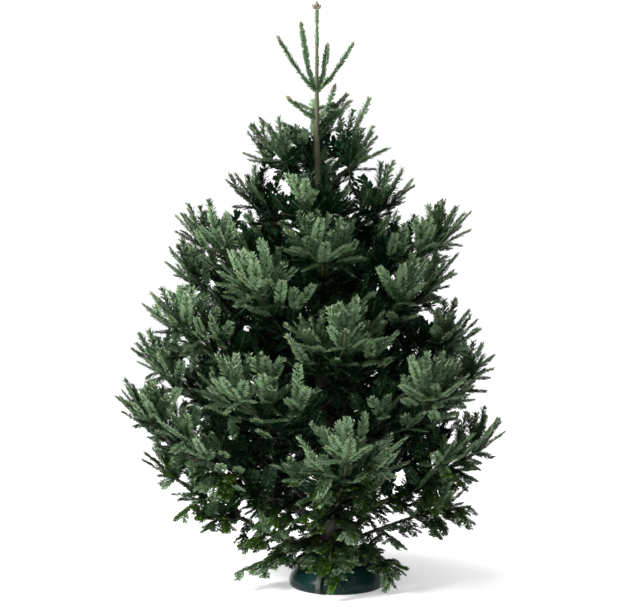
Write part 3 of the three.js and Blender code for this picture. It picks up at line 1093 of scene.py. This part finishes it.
def shape_ring(ring, centre, radius, youth, youth_layer, relief):
    """Sets a ring's corners at the limb's radius, raised and sunk by the bark's relief."""
    for v in ring:
        out = (v.co - centre).normalized()
        swelling = noise.fractal((centre + out * radius) * 60, 0.8, 2.1, 3)
        v.co = centre + out * (radius * (1 + 0.03 * swelling) + relief * swelling * min(1, radius / 0.02))
        v[youth_layer] = youth


def limbs_object(name, lines, sides, relief, material):
    """One object holding several limbs."""
    bm = bmesh.new()
    youth_layer = bm.verts.layers.float.new("youth")
    for line in lines:
        add_limb(bm, youth_layer, line, sides, relief)
    bmesh.ops.recalc_face_normals(bm, faces=bm.faces)
    return finished(name, bm, material)


def finished(name, bm, material, smooth=True):
    """The object of a finished bmesh."""
    mesh = bpy.data.meshes.new(name)
    bm.to_mesh(mesh)
    bm.free()
    mesh.materials.append(material)
    if smooth:
        mesh.shade_smooth()
    return placed(name, mesh)


# ---------------------------------------------------------------- operators


class FIR_OT_trunk(Operator):
    """Grow the trunk, with its bark, from the flat cut in the stand to the tip of the leader"""

    bl_idname = "fir.trunk"
    bl_label = "Trunk"

    RING_GAP = 0.006
    SIDES = 28
    SWELLING = 0.06  # share of the radius, at the cut and where each whorl starts
    FLARE_HEIGHT, WHORL_HEIGHT = 0.06, 0.014
    TIP_GAP = 0.004
    YOUNG_FROM, YOUNG_OVER = 0.75, 0.75

    def execute(self, context):
        settings = context.scene.fir_wood
        low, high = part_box("trunk")
        heights = np.append(np.arange(low.z, high.z, self.RING_GAP), high.z - self.TIP_GAP)
        radii = np.array([TRUNK.radius(h) for h in heights])
        flare = 1 + self.SWELLING * np.exp(-(heights - low.z) / self.FLARE_HEIGHT)
        feet = sorted({round(float(Room(n).foot[2]), 2) for n in nodes_called("spray_")})
        for foot in feet:
            near = np.exp(-(((heights - foot) / self.WHORL_HEIGHT) ** 2))
            radii = radii * (1 + self.SWELLING * near)
        youth = np.clip((heights - self.YOUNG_FROM) / self.YOUNG_OVER, 0, 1)
        line = Limb(TRUNK.centre(heights), radii * flare, youth)
        piece = limbs_object("trunk_bark", [line], self.SIDES, settings.relief, bark_material(settings))
        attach(piece, "root")
        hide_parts("trunk")
        return {"FINISHED"}


class FIR_OT_boughs(Operator):
    """Grow the main boughs, each one tapering limb from the trunk to its tip"""

    bl_idname = "fir.boughs"
    bl_label = "Boughs"

    SIDES = 10

    def execute(self, context):
        settings = context.scene.fir_wood
        boughs = grown_tree()[1]
        material = bpy.data.materials["fir_bark"]
        piece = limbs_object("boughs_bark", boughs, self.SIDES, settings.relief, material)
        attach(piece, "root")
        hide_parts(*nodes_called("main_bough_", "low_bough_"))
        return {"FINISHED"}


class FIR_OT_twigs(Operator):
    """Join all the twigs that are thinner than the main boughs"""

    bl_idname = "fir.twigs"
    bl_label = "Twigs"

    def execute(self, context):
        wood = context.scene.fir_wood
        points, triangles, young = twigs_on(all_shoots())
        materials = [
            plain("twig_old", [c * 0.9 for c in wood.old_bark], 0.8),
            plain("twig_young", wood.young_twig, 0.7),
        ]
        piece = joined_mesh("twigs", points, triangles, young, materials)
        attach(piece, "root")
        return {"FINISHED"}


class FIR_OT_buds(Operator):
    """Set the winter buds at the tips of this year's shoots"""

    bl_idname = "fir.buds"
    bl_label = "Buds"

    def execute(self, context):
        wood = context.scene.fir_wood
        rng = np.random.default_rng(context.scene.fir_foliage.seed)
        points, triangles = buds_on(all_shoots(), rng)
        materials = [plain("bud_scales", wood.bud, 0.55)]
        piece = joined_mesh("buds", points, triangles, np.zeros(len(triangles)), materials)
        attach(piece, "root")
        return {"FINISHED"}


class FIR_OT_needles(Operator):
    """Set the needles along every shoot, joined into a few pieces from the lowest boughs upwards"""

    bl_idname = "fir.needles"
    bl_label = "Needles"

    # In the order of the colours' numbers, each with its roughness.
    COLOURS = (
        ("upper_dark", 0.42),
        ("upper_mid", 0.40),
        ("upper_fresh", 0.42),
        ("upper_yellow", 0.45),
        ("under_pale", 0.55),
        ("under_dull", 0.55),
    )
    GLOSS = 0.12

    def execute(self, context):
        settings = context.scene.fir_foliage
        materials = [
            plain(f"needles_{name}", getattr(settings, name), roughness, self.GLOSS)
            for name, roughness in self.COLOURS
        ]
        rng = np.random.default_rng(settings.seed)
        parts, held, used, number = [], [], 0, 1
        shoots = grown_tree()[0]
        order = sorted(shoots, key=lambda node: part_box(node)[0].z)
        for node in order:
            made = needles_on(shoots[node], settings, rng)
            if used + len(made[1]) > PIECE_TRIANGLES:
                self.join(number, parts, held, materials)
                parts, held, used, number = [], [], 0, number + 1
            parts.append(made)
            held.append(node)
            used += len(made[1])
        self.join(number, parts, held, materials)
        return {"FINISHED"}

    def join(self, number, parts, held, materials):
        offsets = np.cumsum([0] + [len(p[0]) for p in parts])
        points = np.concatenate([p[0] for p in parts])
        triangles = np.concatenate([p[1] + o for p, o in zip(parts, offsets)])
        material_index = np.concatenate([p[2] for p in parts])
        piece = joined_mesh(f"needles_{number}", points, triangles, material_index, materials)
        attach(piece, "root")
        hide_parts(*held)


class FIR_OT_stand(Operator):
    """Mould the stand's dome, with its panels, its flat ring and its well"""

    bl_idname = "fir.stand"
    bl_label = "Stand Dome"

    RING_RADIUS = 0.080
    WELL_RADIUS = 0.063
    WELL_FLOOR = 0.044
    STEPS = 96
    # How far in from the widest radius, and how high, the flank is from its foot to its shoulder.
    FLANK = ((0.004, 0.006), (0.0, 0.020), (0.005, 0.040), (0.024, 0.068), (0.062, 0.096))

    def execute(self, context):
        settings = context.scene.fir_stand
        low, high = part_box("stand_base")
        radius, top = (high.x - low.x) / 2 + 0.0005, high.z
        bm = bmesh.new()
        outline = [bm.verts.new((r, 0, z)) for r, z in self.outline(radius, top)]
        for before, after in itertools.pairwise(outline):
            bm.edges.new((before, after))
        turn = {"cent": (0, 0, 0), "axis": (0, 0, 1), "angle": 2 * math.pi, "steps": self.STEPS}
        bmesh.ops.spin(bm, geom=bm.verts[:] + bm.edges[:], use_merge=True, **turn)
        bmesh.ops.remove_doubles(bm, verts=bm.verts, dist=1e-5)
        for v in bm.verts:
            self.hollow(v, radius, settings)
        bmesh.ops.recalc_face_normals(bm, faces=bm.faces)
        piece = finished("stand_dome", bm, shell_material(settings))
        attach(piece, "root")
        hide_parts("stand_base")
        return {"FINISHED"}

    def outline(self, radius, top):
        """Half the dome's section, from the middle of its underside to the middle of its well."""
        flank = [(radius - inset, height) for inset, height in self.FLANK]
        flank = np.array([*flank, (self.RING_RADIUS, top)])
        t = np.linspace(0, len(flank) - 1, 31)
        curve = np.stack([smooth_line(t, flank[:, k]) for k in range(2)], -1)
        well = self.WELL_RADIUS
        rim = [(well + 0.004, top), (well + 0.0012, top - 0.0012), (well, top - 0.004)]
        floor = [(well, self.WELL_FLOOR + 0.006), (well - 0.006, self.WELL_FLOOR), (0, self.WELL_FLOOR)]
        return [(0, 0), (radius - 0.014, 0), (radius - 0.008, 0.001), *curve, *rim, *floor]

    def hollow(self, v, radius, settings):
        """Sinks the dome's flank into shallow panels with a crease between each two."""
        r = math.hypot(v.co.x, v.co.y)
        if r < self.RING_RADIUS + 0.001 or v.co.z < 0.010:
            return
        shoulder = math.sin(math.pi * (r - self.RING_RADIUS) / (radius - self.RING_RADIUS + 0.010))
        round_dome = settings.panels * math.atan2(v.co.y, v.co.x)
        panel = abs(math.cos(round_dome / 2)) ** 0.7
        shrink = 1 - settings.panel_depth * shoulder * panel / r
        v.co.x *= shrink
        v.co.y *= shrink


class FIR_OT_stand_fittings(Operator):
    """Round the edges of the claws and the pedal"""

    bl_idname = "fir.stand_fittings"
    bl_label = "Claws and Pedal"

    ROUNDING = {
        "offset": 0.0016,
        "offset_type": "OFFSET",
        "affect": "EDGES",
        "segments": 3,
        "profile": 0.5,
        "material": -1,
        "clamp_overlap": True,
    }

    def execute(self, context):
        material = fittings_material(context.scene.fir_stand)
        for node in nodes_called("stand_claw_", "stand_pedal"):
            bm = bmesh.new()
            bm.from_mesh(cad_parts[node].data)
            bmesh.ops.remove_doubles(bm, verts=bm.verts, dist=1e-5)
            bmesh.ops.dissolve_limit(bm, angle_limit=0.02, verts=bm.verts, edges=bm.edges)
            bmesh.ops.bevel(bm, geom=bm.edges[:], **self.ROUNDING)
            bmesh.ops.recalc_face_normals(bm, faces=bm.faces)
            piece = finished(f"{node}_moulded", bm, material)
            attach(piece, "root")
            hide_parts(node)
        return {"FINISHED"}


class FIR_OT_stage(Operator):
    """Lay the pale floor and backdrop, and set the lights and the camera"""

    bl_idname = "fir.stage"
    bl_label = "Stage"

    DOME_LIGHT = 0.70
    FLOOR_GLOW = 0.36
    DOME_SEEN = 1.05
    AIM_HEIGHT = 0.948
    MIDDLE = -0.0575
    PICTURE_WIDTH = 640
    SCALE = 0.003364  # metres at the trunk for each step across the picture
    LIGHTS = (("key", (-3.6, -2.6, 2.6), 1.8, 330), ("top", (-0.5, 0.2, 4.4), 2.5, 120))
    LIT_PLACE = (0, 0, 0.9)

    def execute(self, context):
        settings = context.scene.fir_stage
        self.floor(settings)
        self.dome()
        self.lights()
        self.camera(context.scene, settings)
        return {"FINISHED"}

    def floor(self, settings):
        bm = bmesh.new()
        bmesh.ops.create_circle(bm, cap_ends=True, segments=96, radius=30.0)
        paper = plain("floor_paper", settings.floor, 0.9)
        glow = paper.node_tree.nodes["Principled BSDF"].inputs
        glow["Emission Color"].default_value = (1, 1, 1, 1)
        glow["Emission Strength"].default_value = self.FLOOR_GLOW
        floor = finished("floor", bm, paper, smooth=False)

    def dome(self):
        """A white surround that lights the tree less than it shows."""
        world = bpy.data.worlds.new("studio")
        world.use_nodes = True
        nodes, links = world.node_tree.nodes, world.node_tree.links
        background = nodes["Background"]
        background.inputs["Color"].default_value = (1.0, 1.0, 1.0, 1)
        seen = nodes.new("ShaderNodeLightPath").outputs["Is Camera Ray"]
        strength = nodes.new("ShaderNodeMapRange")
        links.new(seen, strength.inputs["Value"])
        strength.inputs["To Min"].default_value = self.DOME_LIGHT
        strength.inputs["To Max"].default_value = self.DOME_SEEN
        links.new(strength.outputs["Result"], background.inputs["Strength"])
        bpy.context.scene.world = world

    def lights(self):
        for name, place, size, power in self.LIGHTS:
            light = bpy.data.lights.new(name, "AREA")
            light.shape = "DISK"
            light.size = size
            light.energy = power
            self.aimed(placed(name, light), place, self.LIT_PLACE)

    def aimed(self, thing, place, aim):
        """Puts a light or the camera in its place, turned to a point, and returns how far that is."""
        sight = Vector(aim) - Vector(place)
        thing.location = place
        thing.rotation_euler = sight.to_track_quat("-Z", "Y").to_euler()
        return sight.length

    def camera(self, scene, settings):
        data = bpy.data.cameras.new("camera")
        scene.camera = placed("camera", data)
        place = (self.MIDDLE, -settings.camera_distance, settings.camera_height)
        distance = self.aimed(scene.camera, place, (self.MIDDLE, 0, self.AIM_HEIGHT))
        data.sensor_fit = "HORIZONTAL"
        data.sensor_width = 36.0
        data.lens = data.sensor_width * distance / (self.PICTURE_WIDTH * self.SCALE)
        scene.view_settings.view_transform = "Standard"


class FIR_PT_panel(Panel):
    """Steps that make the fir, in order"""

    bl_idname = "FIR_PT_panel"
    bl_label = "Fir in a Stand"
    bl_space_type = "VIEW_3D"
    bl_region_type = "UI"
    bl_category = "Fir"

    def draw(self, context):
        for operator in OPERATORS:
            self.layout.operator(operator.bl_idname)
        for owner in ("fir_foliage", "fir_wood", "fir_stand", "fir_stage"):
            box = self.layout.box()
            settings = getattr(context.scene, owner)
            for name in settings.__annotations__:
                box.prop(settings, name)


OPERATORS = (
    FIR_OT_trunk,
    FIR_OT_boughs,
    FIR_OT_twigs,
    FIR_OT_buds,
    FIR_OT_needles,
    FIR_OT_stand,
    FIR_OT_stand_fittings,
    FIR_OT_stage,
)
SETTINGS = {
    "fir_foliage": FirFoliageSettings,
    "fir_wood": FirWoodSettings,
    "fir_stand": FirStandSettings,
    "fir_stage": FirStageSettings,
}


def register():
    for cls in (*SETTINGS.values(), *OPERATORS, FIR_PT_panel):
        bpy.utils.register_class(cls)
    for name, cls in SETTINGS.items():
        setattr(bpy.types.Scene, name, PointerProperty(type=cls))


def unregister():
    for name in SETTINGS:
        delattr(bpy.types.Scene, name)
    for cls in (FIR_PT_panel, *reversed(OPERATORS), *SETTINGS.values()):
        bpy.utils.unregister_class(cls)


def main():
    register()
    bpy.ops.fir.trunk()
    bpy.ops.fir.boughs()
    bpy.ops.fir.twigs()
    bpy.ops.fir.buds()
    bpy.ops.fir.needles()
    bpy.ops.fir.stand()
    bpy.ops.fir.stand_fittings()
    bpy.ops.fir.stage()


if __name__ == "__main__":
    main()
